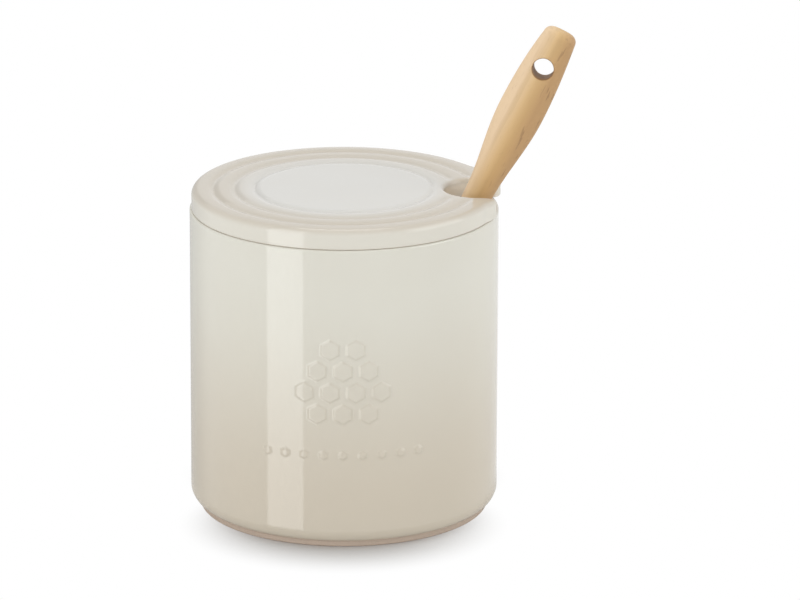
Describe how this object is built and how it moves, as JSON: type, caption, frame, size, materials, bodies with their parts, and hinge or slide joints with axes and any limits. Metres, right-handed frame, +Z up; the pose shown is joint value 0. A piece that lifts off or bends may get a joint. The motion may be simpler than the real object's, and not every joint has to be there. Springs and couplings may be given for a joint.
{
  "type": "honey pot with lift-off lid and dipper",
  "caption": "Round glazed stoneware honey pot with a flat notched lift-off lid and a wooden-handled dipper leaning out of the notch.",
  "frame": {"origin": "centre of the foot ring, on the surface that the pot stands on", "axes": "+Z up along the pot's axis; +X from the pot's axis towards the lid's notch and the leaning dipper; -Y towards the front with the raised pattern"},
  "size_m": [0.1268, 0.1026, 0.1641],
  "materials": {
    "pot_glaze": "glossy glaze, off-white at the rim shading to warm beige at the foot",
    "lid_glaze": "glossy off-white glaze, warmer on the outer rings",
    "beech": "oiled, smooth, fine straight grain",
    "silicone": "matt food-grade silicone"
  },
  "bodies": {
    "pot": {"pot": "pot_glaze"},
    "dipper": {"dipper_handle": "beech", "dipper_head": "silicone"},
    "lid": {"lid": "lid_glaze"}
  },
  "joints": [
    {"name": "dipper_lift", "type": "slide", "parent": "pot", "child": "dipper", "axis": [0, 0, 1], "range_m": [0, 0.11]},
    {"name": "lid_lift", "type": "slide", "parent": "dipper", "child": "lid", "axis": [0, 0, 1], "range_m": [0, 0.08]}
  ]
}
